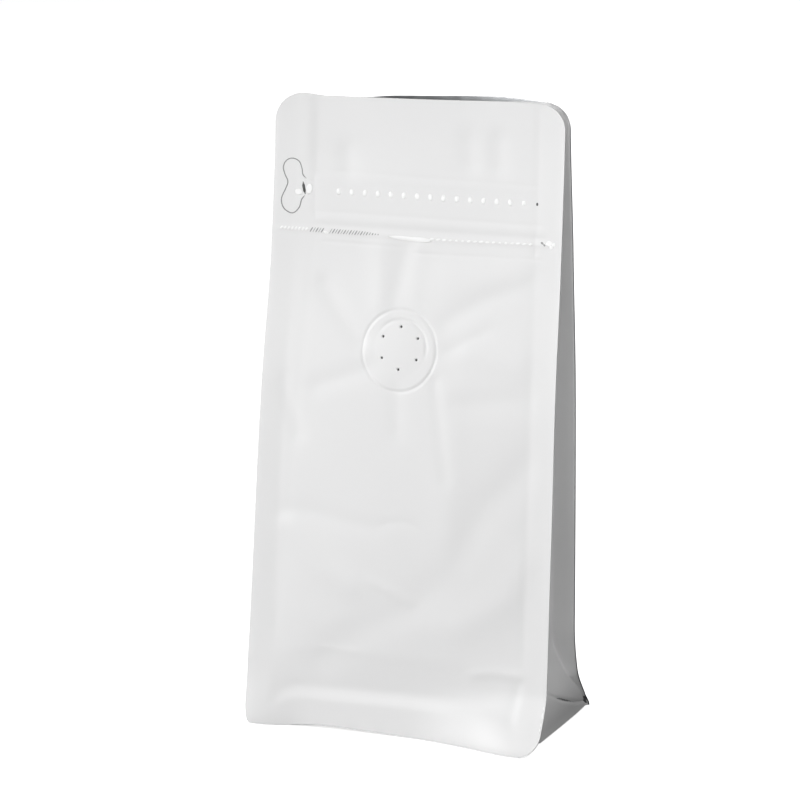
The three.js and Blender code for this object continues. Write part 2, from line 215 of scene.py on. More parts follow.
# %% Lines on the front web
# Each line: width of its bell, how far it stands out (+) or in (-), and the points it runs through.
DENTS = (
    # round the valve, like the spokes of a wheel
    (3.0, -0.45, ((-27, 129.4), (-20.6, 120.6), (-15, 114.4))),
    (3.5, 0.38, ((-10, 141), (-9, 126))),
    (2.4, -0.20, ((-2, 141.4), (-6, 126))),
    (2.6, 0.15, ((2, 141), (0.8, 126.5))),
    (6.0, 0.48, ((11.7, 133), (31, 134.5))),
    (3.0, -0.34, ((11, 121.2), (23, 128.4), (35, 133))),
    (1.8, -0.22, ((10.3, 112), (17, 115.7), (23.7, 119.4))),
    (4.0, 0.38, ((18.6, 112.6), (32.6, 110.9))),
    (3.5, -0.30, ((15.3, 98), (25, 99.3), (37.3, 100.8))),
    (2.8, -0.30, ((-27.2, 101), (-20, 103.5), (-12, 106.7))),
    (2.5, -0.38, ((-38.7, 100.9), (-35.6, 94.4), (-32.4, 86.6))),
    (2.5, -0.30, ((-3, 100.7), (-1.8, 88.8))),
    (2.0, -0.30, ((8.7, 104.1), (13.4, 76.6))),
    # the lower half
    (4.8, 0.30, ((14, 99), (14, 78), (15, 51))),
    (2.6, -0.20, ((-37.3, 63.2), (-27.2, 64), (-14.3, 61.7), (-7, 60.9))),
    (4.0, 0.38, ((-34.3, 59.4), (-23.8, 48.1), (-15, 43.4))),
    (1.5, 0.22, ((-7.9, 45.4), (-2.1, 43.2), (3.7, 40.3))),
    (5.0, -0.34, ((38.2, 82.5), (26.3, 69.6), (15.9, 50.1), (2.4, 36.9), (-11.6, 30.2), (-22.7, 21.1))),
    (5.0, 0.36, ((19.4, 34.4), (32.9, 43.6), (38.1, 53.3))),
    # over the base
    (0.7, 0.10, ((-23.5, 24.8), (-12, 24.2))),
    (1.4, 0.30, ((23.6, 20.9), (28.3, 21.8), (38.1, 21.5))),
    (1.5, -0.24, ((37.4, 19), (36.6, 14), (36, 9.6))),
    # the head, over the tear band
    (3.2, -0.40, ((15, 172), (16, 166.5))),
    (3.0, -0.40, ((24, 172.5), (24.5, 166))),
    (3.0, -0.38, ((-22, 168), (-21, 163))),
)
SEAL_LINES = (
    (1.1, -0.10, ((-31.4, 160), (-30.8, 149))),
    (1.0, -0.06, ((-30.8, 149), (-33, 100), (-35.5, 54), (-37.4, 26.5))),
    (0.9, -0.13, ((36, 182), (36.1, 142))),
    (0.9, -0.06, ((36.1, 142), (38.3, 46.7), (38.5, 25))),
)
POCKET_LINES = (
    (0.5, -0.06, ((-31, 162.3), (37, 160.7))),
    (0.5, 0.04, ((-31, 159.9), (37, 159.3))),
    (0.6, -0.07, ((-31, 150.5), (38, 149.7))),
    (1.2, 0.10, ((-31, 148.6), (38, 148))),
    (0.8, -0.08, ((-30, 146.7), (38.5, 146.1))),
    (0.8, 0.12, ((-41.4, 145.3), (-8, 144.6), (11, 144.2), (39.9, 144.4))),
    (0.6, -0.08, ((-27.9, 141.9), (-4.5, 141.5))),
    (0.6, -0.08, ((0.1, 140), (38, 140.1))),
)
print(len(DENTS), "dents,", len(SEAL_LINES), "seal lines and", len(POCKET_LINES), "lines round the zipper")

# %% [markdown]
# ## Where the valve presses through
# The valve's flange is welded to the inside of the film, and the bar that welds it leaves a slightly oval
# print with a smaller ring in it. Lower down, another bag's valve once left a faint arc. They could be drawn
# into the mesh as edge loops, but a grid with small cells takes a ring from a function just as well.

# %% Rings
VALVE = (-2.4, 113.05)  # middle of the valve's pinholes
PRINT_MIDDLE = (-2.65, 112.2)
PRINT_HALF = (11.2, 11.6)  # half its width and half its height
PRINT_LINE = 0.5
PRINT_DEPTH = 0.2
PRINT_STEP = 0.04  # how far the film inside the print stands out
FLANGE_RING = 7.9
FLANGE_DEPTH = 0.2
DOME = 0.25  # how far the film stands out over the middle of the valve
OLD_PRINT = ((0.0, 53.5), 10.0, (56, 122))  # middle, radius, and its arc in degrees
OLD_DEPTH = 0.2
OLD_FADE = 12  # degrees over which its ends fade


def ring(distance, radius, width):
    return np.exp(-(((distance - radius) / width) ** 2))


def valve_print(x, z):
    across = (x - PRINT_MIDDLE[0]) / PRINT_HALF[0]
    up = (z - PRINT_MIDDLE[1]) / PRINT_HALF[1]
    oval = np.hypot(across, up)
    step = PRINT_STEP * smooth((1.04 - oval) / 0.08)
    groove = -PRINT_DEPTH * ring(oval * PRINT_HALF[1], PRINT_HALF[1], PRINT_LINE)
    inner = np.hypot(x - VALVE[0], z - VALVE[1])
    on_top = smooth((z - VALVE[1] + 0.5 * (x - VALVE[0])) / 5)  # the flange shows in its upper part only
    flange = -FLANGE_DEPTH * ring(inner, FLANGE_RING, PRINT_LINE) * on_top
    dome = DOME * np.clip(1 - (inner / FLANGE_RING) ** 2, 0, 1)
    return step + groove + flange + dome


def old_print(x, z):
    (cx, cz), radius, (low, high) = OLD_PRINT
    angle = np.degrees(np.arctan2(z - cz, x - cx))
    on_arc = smooth((angle - low + OLD_FADE) / OLD_FADE) * smooth((high + OLD_FADE - angle) / OLD_FADE)
    return -OLD_DEPTH * ring(np.hypot(x - cx, z - cz), radius, 0.6) * on_arc


# %% Relief of the front web
STEP_AT = -32.6  # here, left of the zipper's pocket, the head's panel steps back
STEP_DEPTH = 0.45
STEP_RUN = (2.2, 16.0)  # how far it takes to the left and to the right
STEP_FROM, STEP_RISE = 158, 10  # it starts at this height, and is whole so much higher
WAVE = 0.07


def head_step(x, z):
    left, right = STEP_RUN
    run = np.where(x < STEP_AT + left, left, right)
    return -STEP_DEPTH * np.exp(-(((x - STEP_AT - left) / run) ** 2)) * smooth((z - STEP_FROM) / STEP_RISE)


def relief(x, z):
    """How far the front web stands out of its smooth form at a place."""
    inside_fins = smooth((fin_edge(z) - 2 - np.abs(x)) / SEAL)
    waves = WAVE * np.sin(x / 7 + 1.3 * np.sin(z / 19)) * np.sin(z / 11 + 0.8 * np.sin(x / 13))
    soft = (lines(x, z, DENTS) + waves) * inside_fins
    pressed = lines(x, z, SEAL_LINES) + lines(x, z, POCKET_LINES) + valve_print(x, z) + old_print(x, z)
    return soft + pressed + head_step(x, z)


def front_face(x, z):
    return front_wall(x, z) - relief(x, z)


heights = relief(*np.meshgrid(np.linspace(-44, 44, 89), np.linspace(0, HEIGHT, 185)))
print("relief from", round(float(heights.min()), 2), "to", round(float(heights.max()), 2), "mm")

# %% [markdown]
# ## Making a web of film
# A web starts as a flat grid, like film off the roll, and each of its points is then moved to its place on
# the wall. The grid's lines needn't be evenly spaced: they crowd together where the film carries a print or
# a crease and are sparse elsewhere, which keeps the mesh small. A Solidify modifier gives the sheet its
# thickness, and its inner side takes the foil's material.


# %% Helpers for a grid
def ruler(marks, end):
    """Positions from mark to mark; each mark is (place, size of the cells that follow it)."""
    places = []
    for (start, cell), (stop, _) in zip(marks, [*marks[1:], (end, 0)]):
        count = max(1, round((stop - start) / cell))
        places.extend(np.linspace(start, stop, count, endpoint=False))
    return np.array([*places, end])


def punch(bm, x, z, radius, half_width):
    """Cuts a round hole: removes what lies inside it and pulls its rim on to the circle."""
    def away(v):
        return math.hypot(v.co.x * half_width - x, v.co.y - z)

    gone = [v for v in bm.verts if abs(v.co.y - z) < 1 and away(v) < radius * 0.95]
    rim = {v for g in gone for f in g.link_faces for v in f.verts} - set(gone)
    for v in rim:
        grow = radius / away(v)
        v.co.x = (x + (v.co.x * half_width - x) * grow) / half_width
        v.co.y = z + (v.co.y - z) * grow
    bmesh.ops.delete(bm, geom=gone, context="VERTS")


def flat_grid(columns, rows, fine=(), holes=()):
    """A flat sheet whose points are (column, row); fine areas get smaller cells, and holes are punched."""
    bm = bmesh.new()
    across, up = len(columns) - 1, len(rows) - 1
    bmesh.ops.create_grid(bm, x_segments=across, y_segments=up, size=1)
    for vertex in bm.verts:
        column = columns[round((vertex.co.x + 1) / 2 * across)]
        row = rows[round((vertex.co.y + 1) / 2 * up)]
        vertex.co = (column, row, 0)
    for left, low, right, high, cuts in fine:
        inside = [e for e in bm.edges if all(left < v.co.x < right and low < v.co.y < high for v in e.verts)]
        bmesh.ops.subdivide_edges(bm, edges=inside, cuts=cuts, use_grid_fill=True)
    for (x, z), radius, half_width in holes:
        punch(bm, x, z, radius, half_width)
    return bm


# %% From a grid to a web
def metres(x, y, z):
    """Bag measures to the frame's metres."""
    return np.stack([x, y + to_frame, z], axis=-1) / 1000


def sheet_from(bm, name, place, materials, thickness=FILM, node="pouch"):
    """Moves a flat sheet's points to their place in the bag and makes it a piece with a thickness."""
    flat = np.array([v.co for v in bm.verts])
    for vertex, co in zip(bm.verts, metres(*place(flat[:, 0], flat[:, 1]))):
        vertex.co = co
    for face in bm.faces:
        face.smooth = True
    mesh = bpy.data.meshes.new(name)
    bm.to_mesh(mesh)
    bm.free()
    for finish in materials:
        mesh.materials.append(finish)
    sheet = bpy.data.objects.new(name, mesh)
    bpy.context.scene.collection.objects.link(sheet)
    solidify = sheet.modifiers.new("film", "SOLIDIFY")
    solidify.thickness = thickness / 1000
    solidify.offset = -1
    solidify.material_offset = 1
    solidify.material_offset_rim = 0
    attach(sheet, "root")
    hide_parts(node)
    print(name, len(mesh.polygons), "faces")


# %% [markdown]
# ## Writing a material
# A material is a graph of nodes, and a little maths in it soon takes a dozen of them. A small class wraps a
# socket, so that the maths can be written as maths.


# %% Shader helper
class Sock:
    """A shader socket that can be added, multiplied and so on, to write shader maths as maths."""

    def __init__(self, tree, socket):
        self.tree = tree
        self.socket = socket

    def node(self, kind, settings=None, out=0, **inputs):
        made = self.tree.nodes.new(kind)
        for key, value in (settings or {}).items():
            setattr(made, key, value)
        for key, value in inputs.items():
            target = made.inputs[int(key[1:])] if key[1:].isdigit() else made.inputs[key.replace("_", " ")]
            if isinstance(value, Sock):
                self.tree.links.new(value.socket, target)
            else:
                target.default_value = value
        return Sock(self.tree, made.outputs[out])

    def maths(self, operation, a, b=0.0):
        return self.node("ShaderNodeMath", {"operation": operation}, i0=a, i1=b)

    def __add__(self, other):
        return self.maths("ADD", self, other)

    __radd__ = __add__

    def __sub__(self, other):
        return self.maths("SUBTRACT", self, other)

    def __rsub__(self, other):
        return self.maths("SUBTRACT", other, self)

    def __mul__(self, other):
        return self.maths("MULTIPLY", self, other)

    __rmul__ = __mul__


# %% Helpers for a material
def material(name, colour, roughness, metallic=0.0):
    """A Principled material; returns it, its shader and a starting socket with the Object coordinates."""
    made = bpy.data.materials.new(name)
    made.use_nodes = True
    tree = made.node_tree
    shader = tree.nodes["Principled BSDF"]
    shader.inputs["Base Color"].default_value = (*colour, 1)
    shader.inputs["Roughness"].default_value = roughness
    shader.inputs["Metallic"].default_value = metallic
    start = Sock(tree, tree.nodes.new("ShaderNodeTexCoord").outputs["Object"])
    return made, shader, start


def mix(start, factor, a, b):
    """A colour between a and b."""
    return start.node("ShaderNodeMix", {"data_type": "RGBA"}, out=2, i0=factor, i6=(*a, 1), i7=(*b, 1))


def wear(shader, socket, value):
    shader.id_data.links.new(value.socket, shader.inputs[socket])


# %% [markdown]
# ## Film and foil
# The laminate is matt white film over aluminium foil. Plain white would do from afar, but matt film still has
# a faint gloss, and its surface isn't quite even. So the base colour and the roughness drift a little from
# place to place, and the foil's roughness has a fine grain.

# %% Film and foil
WHITE = (0.80, 0.80, 0.80)
WHITE_SHADE = (0.785, 0.785, 0.787)

film, film_shader, at = material("white_film", WHITE, 0.5)
cloud = at.node("ShaderNodeTexNoise", i0=at, Scale=35.0, Detail=3.0)
wear(film_shader, "Base Color", mix(at, cloud, WHITE_SHADE, WHITE))
wear(film_shader, "Roughness", cloud * 0.12 + 0.42)

foil, foil_shader, at = material("foil", (0.50, 0.51, 0.52), 0.38, metallic=1.0)
grain = at.node("ShaderNodeTexNoise", i0=at, Scale=420.0, Detail=2.0)
wear(foil_shader, "Roughness", grain * 0.2 + 0.28)
print("finishes:", film.name, "and", foil.name)

# %% [markdown]
# ## The front web
# The front carries everything that is worth a close look: the valve's print, the tear band and the dents.
# Its grid is finest there. Its rounded corners could be cut with a knife tool, but they come from the grid's
# own edge: near the top and the bottom each row is a little narrower, by the height of the arc. Its lowest
# edge doesn't lie flat on the floor: at the left it hangs a little over it.

# %% Rounded corners
TOP_RADIUS = (7.5, 7.0)  # left, right
BOTTOM_RADIUS = (2.0, 6.5)
WIDER_AT = (0, 6, 15, 30, 60, HEIGHT)
FRONT_WIDER = (0.4, 0.9, 0.9, 0.6, 0.3, 0)  # how much wider than the back web the front web is there

front_wider = curve(WIDER_AT, FRONT_WIDER)


def corner_cut(z, radius, level):
    """How much a rounded corner at a level takes off a row's half width."""
    left = np.clip(radius - np.abs(z - level), 0, radius)
    return radius - np.sqrt(np.maximum(radius**2 - left**2, 0))


def rounded(x, z):
    """Pulls a row's points in, so that the sheet ends in rounded corners."""
    out = x.copy()
    for side, top, bottom in ((-1, TOP_RADIUS[0], BOTTOM_RADIUS[0]), (1, TOP_RADIUS[1], BOTTOM_RADIUS[1])):
        edge = fin_edge(z) + front_wider(z) - corner_cut(z, top, HEIGHT) - corner_cut(z, bottom, 0.0)
        here = x * side > 0
        out[here] = (x * edge)[here]
    return out


# %% The front's mouth and foot
FRONT_RISE_AT = (-45, -40, -35, -28, -12, 4, 12, 24, 34, 45)
FRONT_RISE = (0, 0.4, 0.9, 0.3, 0.35, 0.45, 0.55, 0.75, 0.6, 0.1)  # how much higher than straight it ends
MOUTH_REACH = 30.0  # height over which that difference fades
FOOT_AT = (-36, -30, -22, -8, 8, 45)
FOOT_LIFT = (0, 0.35, 0.9, 0.5, 0, 0)  # how far the lowest edge hangs over the floor there
FOOT_REACH = 9.0  # height over which that fades

front_rise = curve(FRONT_RISE_AT, FRONT_RISE)
foot_lift = curve(FOOT_AT, FOOT_LIFT)


def near_mouth(z):
    return smooth((z - HEIGHT + MOUTH_REACH) / MOUTH_REACH)


def front_place(share, z):
    x = rounded(share, z)
    foot = foot_lift(x) * np.clip(1 - z / FOOT_REACH, 0, 1)
    return x, front_face(x, z), z + front_rise(x) * near_mouth(z) + foot


# %% Pinholes
PINHOLE_CIRCLE = 6.06
PINHOLE_RADIUS = 0.36
PINHOLES = 6


def pinholes():
    """Each pinhole's middle, its radius and the bag's half width at its height."""
    for i in range(PINHOLES):
        turn = math.tau * i / PINHOLES
        x = VALVE[0] + PINHOLE_CIRCLE * math.sin(turn)
        z = VALVE[1] + PINHOLE_CIRCLE * math.cos(turn)
        yield (x, z), PINHOLE_RADIUS, float(fin_edge(z))


# %% Front web
FLOOR_GAP = 0.3  # the lowest edge is folded film, and stands this much over the floor
LAST_CELL = 0.003  # a narrow cell along each edge keeps the shading of the film's cut edge out of its face
END_ROW = 0.1  # the same along the floor and the mouth, in mm
front_columns = ruler([(-1, LAST_CELL), (-1 + LAST_CELL, 0.02), (1 - LAST_CELL, LAST_CELL)], 1)
front_rows = ruler(
    [
        (FLOOR_GAP, END_ROW), (0.4, 0.4), (1.6, 0.8), (9, 0.9), (138.5, 0.4), (151, 0.5), (166.5, 0.9),
        (176, 0.5), (HEIGHT - END_ROW, END_ROW),
    ],
    HEIGHT,
)
FINE_AREAS = (  # left and right as shares of the half width, low and high in mm, cuts in each cell's side
    (-0.34, 99.5, 0.22, 125.2, 3),
    (-0.99, 147, -0.68, 168, 2),
    (-0.8, 138, 0.93, 147, 1),
)
front_sheet = flat_grid(front_columns, front_rows, FINE_AREAS, pinholes())
sheet_from(front_sheet, "front_web", front_place, (film, foil))

# %% [markdown]
# ## The back web
# The back is the same film without a valve, a tear band or a zipper: a plain panel that bows out softly. It
# could be a mirrored copy of the front, but its fins, its flare at the floor and its rim differ, so it gets
# its own grid, with larger cells. The columns run the other way round, which turns the faces outwards. At
# the mouth its rim ends higher than the front's at the right and lower at the left.

# %% Back web
BACK_RISE_AT = (-45, -30, -20, -12, 0, 12, 24, 34, 45)
BACK_RISE = (0, -0.8, -0.9, -0.35, 0.0, 0.55, 0.9, 0.5, 0)
back_rise = curve(BACK_RISE_AT, BACK_RISE)

back_columns = front_columns[::-1]
back_rows = ruler(
    [(FLOOR_GAP, END_ROW), (0.4, 0.5), (9, 1.2), (30, 1.5), (172, 0.7), (HEIGHT - END_ROW, END_ROW)], HEIGHT
)


def lifted(x, z):
    """Height of a point of the back web, which ends higher or lower than straight at the mouth."""
    return z + back_rise(x) * near_mouth(z)


def back_place(share, z):
    edge = fin_edge(z) - corner_cut(z, TOP_RADIUS[1], HEIGHT)
    x = share * edge
    return x, back_wall(x, z), lifted(x, z)


back_sheet = flat_grid(back_columns, back_rows)
sheet_from(back_sheet, "back_web", back_place, (film, foil))

# %% [markdown]
# ## The gussets
# A gusset is sealed to the front web along one fin and to the back web along the other. Between them it
# folds deep into the bag. A bevel on the fold's edge would round it by the same amount all the way up. Here
# the gusset's path is a line with three turns, and averaging it over a short stretch rounds those turns the
# way film does: tightly where it is sealed, and loosely near the floor.

# %% Measures of the gussets
TURNS = (0.2, 0.5, 0.8)  # where along the path the front seal, the fold and the back seal are
ROUNDING = 0.02
SHIFTS = 9  # places over which the path is averaged
LOOSE = 7.0  # near the floor the fold is that much rounder
LAYER = FILM + 0.03  # from one film's face to the next one's, where they are sealed
FOLD_DEPTH = (0, 0, 4, 10, 16, 19.5, 20.5, 21)
SIDE_BOW = (0.5, 1.3, 1.6, 0, 0, 0, 0, 0)
FRONT_CORNER_SEAL = 4.0  # width of the front's side seal at the floor

fold_depth = curve(FORM_LEVELS, FOLD_DEPTH)
side_bow = curve(FORM_LEVELS, SIDE_BOW)


def front_seal_width(z):
    return FRONT_CORNER_SEAL + (SEAL - FRONT_CORNER_SEAL) * smooth(z / CORNER_SEAL_HEIGHT)


def between(a, b, t):
    return a + (b - a) * np.clip(t, 0, 1)


# %% A gusset's path
def gusset_path(side, s, z):
    """Outer face of a gusset at s: 0 on the front fin's edge, 1 on the back fin's."""
    edge = fin_edge(z)
    front_seal = edge - front_seal_width(z)
    back_seal = edge - back_seal_width(z)
    fold_x = (front_seal + back_seal) / 2 - fold_depth(z)
    to_seal, to_fold, to_back = TURNS
    x = between(edge + front_wider(z), front_seal, s / to_seal)
    x = x + between(0, fold_x - front_seal, (s - to_seal) / (to_fold - to_seal))
    x = x + between(0, back_seal - fold_x, (s - to_fold) / (to_back - to_fold))
    x = x + between(0, edge - back_seal, (s - to_back) / (1 - to_back))
    inward = np.clip(1 - np.abs(s - to_fold) / (to_fold - to_seal), 0, 1)
    x = x + side_bow(z) * (1 - (1 - inward) ** 3)
    front_y = front_face(side * np.where(s < to_seal, x, front_seal), z) + LAYER + FILM
    back_y = back_wall(side * np.where(s > to_back, x, back_seal), z) - LAYER - FILM
    return x, between(front_y, back_y, (s - to_seal) / (to_back - to_seal))


def rounded_path(side, s, z):
    """The path with its turns rounded, over a longer stretch at the fold near the floor."""
    x, y = np.zeros_like(z), np.zeros_like(z)
    loose = 1 + LOOSE * smooth(1 - np.abs(s - TURNS[1]) / 0.25) * (1 - smooth((z - 40) / 80))
    shifts = np.linspace(-ROUNDING, ROUNDING, SHIFTS)[:, None] * loose
    for shift in shifts:
        px, py = gusset_path(side, np.clip(s + shift, 0, 1), z)
        x, y = x + px / len(shifts), y + py / len(shifts)
    return x, y


# %% The crease across a gusset
CREASE_AT = (0, 0.4, 0.75, 1, 1.35)  # from the front seal, 0, to the back seal, 1, and on to the fin's edge
side_crease = curve(CREASE_AT, (20, 13.5, 7, 2.4, 1.0))
side_crease_depth = curve(CREASE_AT, (0.2, 0.3, 0.6, 0.3, 0.0))
side_crease_width = curve(CREASE_AT, (0.5, 0.45, 0.45, 0.5, 0.5))
LIP_OVER = 1.3  # over the crease the film stands out in a lip
LIP_WIDTH = 0.6
LIP_HEIGHT = 0.25


def crease_depth(s, z):
    """How far the film is pressed in by the crease at a place on a gusset."""
    across = (s - TURNS[0]) / (TURNS[2] - TURNS[0])
    fold = ring(z, side_crease(across), side_crease_width(across))
    lip = ring(z, side_crease(across) + LIP_OVER, LIP_WIDTH) * (1 - smooth((across - 0.3) / 0.3))
    depth = side_crease_depth(across) * fold - LIP_HEIGHT * lip
    return depth * smooth((s - TURNS[0] + 0.05) / 0.1)


# %% Gussets
GUSSET_TRIM = 0.8  # the gusset ends this far inside the front web's edge


def gusset_place(side):
    def place(s, z):
        x, y = rounded_path(side, s, z)
        bottom = BOTTOM_RADIUS[1] if side > 0 else BOTTOM_RADIUS[0]
        near_front = 1 - smooth((s - TURNS[0] - 0.12) / 0.08)
        trim = corner_cut(z, TOP_RADIUS[1], HEIGHT) + (corner_cut(z, bottom, 0.0) + GUSSET_TRIM) * near_front
        x = np.minimum(x, fin_edge(z) + front_wider(z) * near_front - trim)
        x = side * (x - crease_depth(s, z))
        return x, y, z + (lifted(x, z) - z) * smooth((s - TURNS[1]) / 0.3)

    return place


gusset_rows = ruler(
    [(FLOOR_GAP, END_ROW), (0.4, 0.35), (18, 0.8), (40, 1.2), (172, 0.8), (HEIGHT - END_ROW, END_ROW)], HEIGHT
)
gusset_columns = ruler(
    [
        (0, 0.004), (0.004, 0.02), (0.16, 0.008), (0.24, 0.015), (0.44, 0.008), (0.56, 0.015), (0.76, 0.008),
        (0.84, 0.02),
    ],
    1,
)
right_sheet = flat_grid(gusset_columns, gusset_rows)
sheet_from(right_sheet, "gusset_right", gusset_place(1), (film, foil))
left_sheet = flat_grid(gusset_columns[::-1], gusset_rows)
sheet_from(left_sheet, "gusset_left", gusset_place(-1), (film, foil))

# %% [markdown]
# ## The bottom web
# The bottom is a web of its own. It lies flat a finger's breadth over the floor, falls to the floor at the
# four corners, and its edge turns down and is sealed to the inside of the skirt. A flat plate would close
# the bag as well, but from below one would see at once that nothing holds it.

# %% Bottom web
SKIRT = 11.0  # height of the bottom web over the floor
TURN_DOWN = 0.86  # share of the grid that lies flat; the rest is the edge that turns down
VAULT = 1.2
VAULT_HALF = (51, 34)  # half its width and half its depth, well past the web's own
FRONT_PART = 0.4  # share of the half depth over which the web follows the front's lifted foot


def web_height(x, y):
    from_side = np.maximum(fin_edge(0.0) - np.abs(x), 0)
    from_front = np.maximum(-FRONT_FIN[0] - np.abs(y), 0)
    vault = VAULT * (1 - (x / VAULT_HALF[0]) ** 2 / 2 - (y / VAULT_HALF[1]) ** 2 / 2)
    rise = crease_height(from_side + from_front, SKIRT - 2 * SOLID_WALL)
    return SOLID_WALL + rise + vault - VAULT / 2


def bottom_place(u, w):
    reach_u = np.clip(u / TURN_DOWN, -1, 1)
    reach_w = np.clip(w / TURN_DOWN, -1, 1)
    down = (np.maximum(np.abs(u), np.abs(w)) - TURN_DOWN).clip(0) / (1 - TURN_DOWN)
    flat_x = reach_u * (fin_edge(0.0) - BACK_CORNER_SEAL)
    flat_y = reach_w * -FRONT_FIN[0]
    on_front = np.clip(-reach_w - (1 - FRONT_PART), 0, FRONT_PART) / FRONT_PART
    z = between(web_height(flat_x, flat_y), FLOOR_GAP + foot_lift(flat_x) * on_front, down)
    seal_path = TURNS[0] + (TURNS[2] - TURNS[0]) * (reach_w + 1) / 2
    half = np.minimum(gusset_path(1, seal_path, z)[0], gusset_path(-1, seal_path, z)[0]) - 2 * LAYER
    x = reach_u * half
    y = between(front_face(x, z) + 2 * LAYER, back_wall(x, z) - 2 * LAYER, (reach_w + 1) / 2)
    return x, y, z


bottom_columns = ruler([(-1, 0.025)], 1)[::-1]
bottom_rows = ruler([(-1, 0.04)], 1)
bottom_sheet = flat_grid(bottom_columns, bottom_rows)
sheet_from(bottom_sheet, "bottom_web", bottom_place, (film, foil))

# %% [markdown]
# ## Small glossy marks
# The tear band carries a row of small glossy marks, and the zipper under it a row of slanting teeth where the
# hot bar pressed the film on to it. Both are far smaller than the front web's cells, so each mark is a flat
# bead of its own that lies on the film. A low sphere, squashed and turned, gives a bead in three lines. Many
# beads are painted light: white ones are painted highlights, and dark ones painted shade or a painted dark
# reflection. A bead can also be sunk: a dark one in each pinhole is painted shade for the depth behind it.


# %% Beads
def beads(name, finish, marks, sides=12, sunk=0.0):
    """One piece of many beads; each mark is (x, z, half_x, half_z, height, slant in degrees).

    The beads lie on the front web's face, or as deep under it as sunk says.
    """
    bm = bmesh.new()
    for x, z, half_x, half_z, height, slant in marks:
        size = Matrix.Diagonal((half_x, half_z, height, 1))
        spin = Matrix.Rotation(math.radians(slant), 4, "Z")
        bmesh.ops.create_uvsphere(
            bm, u_segments=sides, v_segments=6, radius=1, matrix=Matrix.Translation((x, z, 0)) @ spin @ size
        )
    flat = np.array([v.co for v in bm.verts])
    x, z, height = flat.T
    for vertex, co in zip(bm.verts, metres(x, front_face(x, z) + sunk - height, z)):
        vertex.co = co
    for face in bm.faces:
        face.smooth = True
    bmesh.ops.recalc_face_normals(bm, faces=bm.faces)
    mesh = bpy.data.meshes.new(name)
    bm.to_mesh(mesh)
    bm.free()
    mesh.materials.append(finish)
    piece = bpy.data.objects.new(name, mesh)
    bpy.context.scene.collection.objects.link(piece)
    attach(piece, "root")
    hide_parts("pouch")
    print(name, len(mesh.polygons), "faces")


# %% Finishes of the marks
def gloss(name, shade, roughness):
    made, shader, at = material(name, (shade, shade, shade), roughness)
    speck = at.node("ShaderNodeTexNoise", i0=at, Scale=900.0)
    wear(shader, "Roughness", speck * 0.1 + (roughness - 0.05))
    wear(shader, "Base Color", mix(at, speck, (shade * 0.97,) * 3, (shade,) * 3))
    return made


# White for the tear band's print, and also for painted highlights on the zipper, the tab and the fin's edge.
# Grey for a painted dark reflection on the zipper's teeth, and grey for painted shade along the tab's cut.
# Near-black for painted shade in the tab's slot and in the pinholes, and for the small dark mark ending the
# tear band.
white_print_and_painted_highlight = gloss("white_print_and_painted_highlight_gloss", 0.98, 0.2)
painted_dark_reflection = gloss("painted_dark_reflection_gloss", 0.36, 0.5)
cut_painted_shade = gloss("cut_painted_shade_grey", 0.3, 0.5)
dark_mark_and_painted_shade = gloss("dark_mark_and_painted_shade", 0.08, 0.6)
print("marks' finishes:", [finish.name for finish in (white_print_and_painted_highlight, painted_dark_reflection, cut_painted_shade, dark_mark_and_painted_shade)])

# %% The tear band's marks
MARK_PITCH = 4.0
MARK_FIRST = -23.8
MARK_COUNT = 15
MARK_HALF = (0.66, 0.98)
MARK_HEIGHT = 0.07
LAST_MARK = 0.75  # the last one is that much smaller
TEAR_LINE = (156.2, -0.012)  # height at x = 0, and slope


def tear_height(x):
    return TEAR_LINE[0] + TEAR_LINE[1] * x


marks = []
for i in range(MARK_COUNT):
    x = MARK_FIRST + i * MARK_PITCH
    shrink = LAST_MARK if i == MARK_COUNT - 1 else 1.0
    slant = 8 * math.sin(2.1 * i)
    marks.append((x, tear_height(x), MARK_HALF[0] * shrink, MARK_HALF[1] * shrink, MARK_HEIGHT, slant))
beads("tear_marks", white_print_and_painted_highlight, marks)
end_x = MARK_FIRST + MARK_COUNT * MARK_PITCH
beads("tear_end", dark_mark_and_painted_shade, [(end_x, tear_height(end_x), 0.34, 0.5, 0.05, 0)])

# %% Painted shade in the pinholes and painted highlights on the edge
FLOOR_HALF = 0.55  # a floor is wider than its pinhole, so no gap shows
FLOOR_SUNK = 0.24
PAINTED_HIGHLIGHTS_AT = 45.6
EDGE_PAINTED_HIGHLIGHTS = ((13.4, 0.5), (11.6, 0.8), (9.3, 0.5), (8.0, 0.35))  # height and half length on the right fin

# The dark beads sunk in the pinholes are painted shade; the white beads on the right fin's edge are painted
# highlights.
pinhole_shade_beads = [(*middle, FLOOR_HALF, FLOOR_HALF, 0.04, 0) for middle, *_ in pinholes()]
beads("pinhole_painted_shade", dark_mark_and_painted_shade, pinhole_shade_beads, sunk=FLOOR_SUNK)
beads("edge_painted_highlights", white_print_and_painted_highlight, [(PAINTED_HIGHLIGHTS_AT, z, 0.22, half, 0.05, 6) for z, half in EDGE_PAINTED_HIGHLIGHTS])

# %% [markdown]
# ## The zipper's pressed teeth
# One tooth could be repeated with an Array modifier, but the row's look changes along its length because the
# film turns a little in the light: grey at the left, one long shine in the middle where the teeth are pressed
# flat, and a string of lit points at the right. That light is painted into the beads' colour: the grey is a
# painted dark reflection, and the shine and the points are painted highlights in white. So each stretch has
# its own beads.


# %% Zipper teeth
def zip_height(x):
    return np.interp(x, (-41.4, -8, 11, 39.9), (145.3, 144.7, 144.3, 144.5))


def run(start, stop, pitch):
    return np.arange(start, stop, pitch)


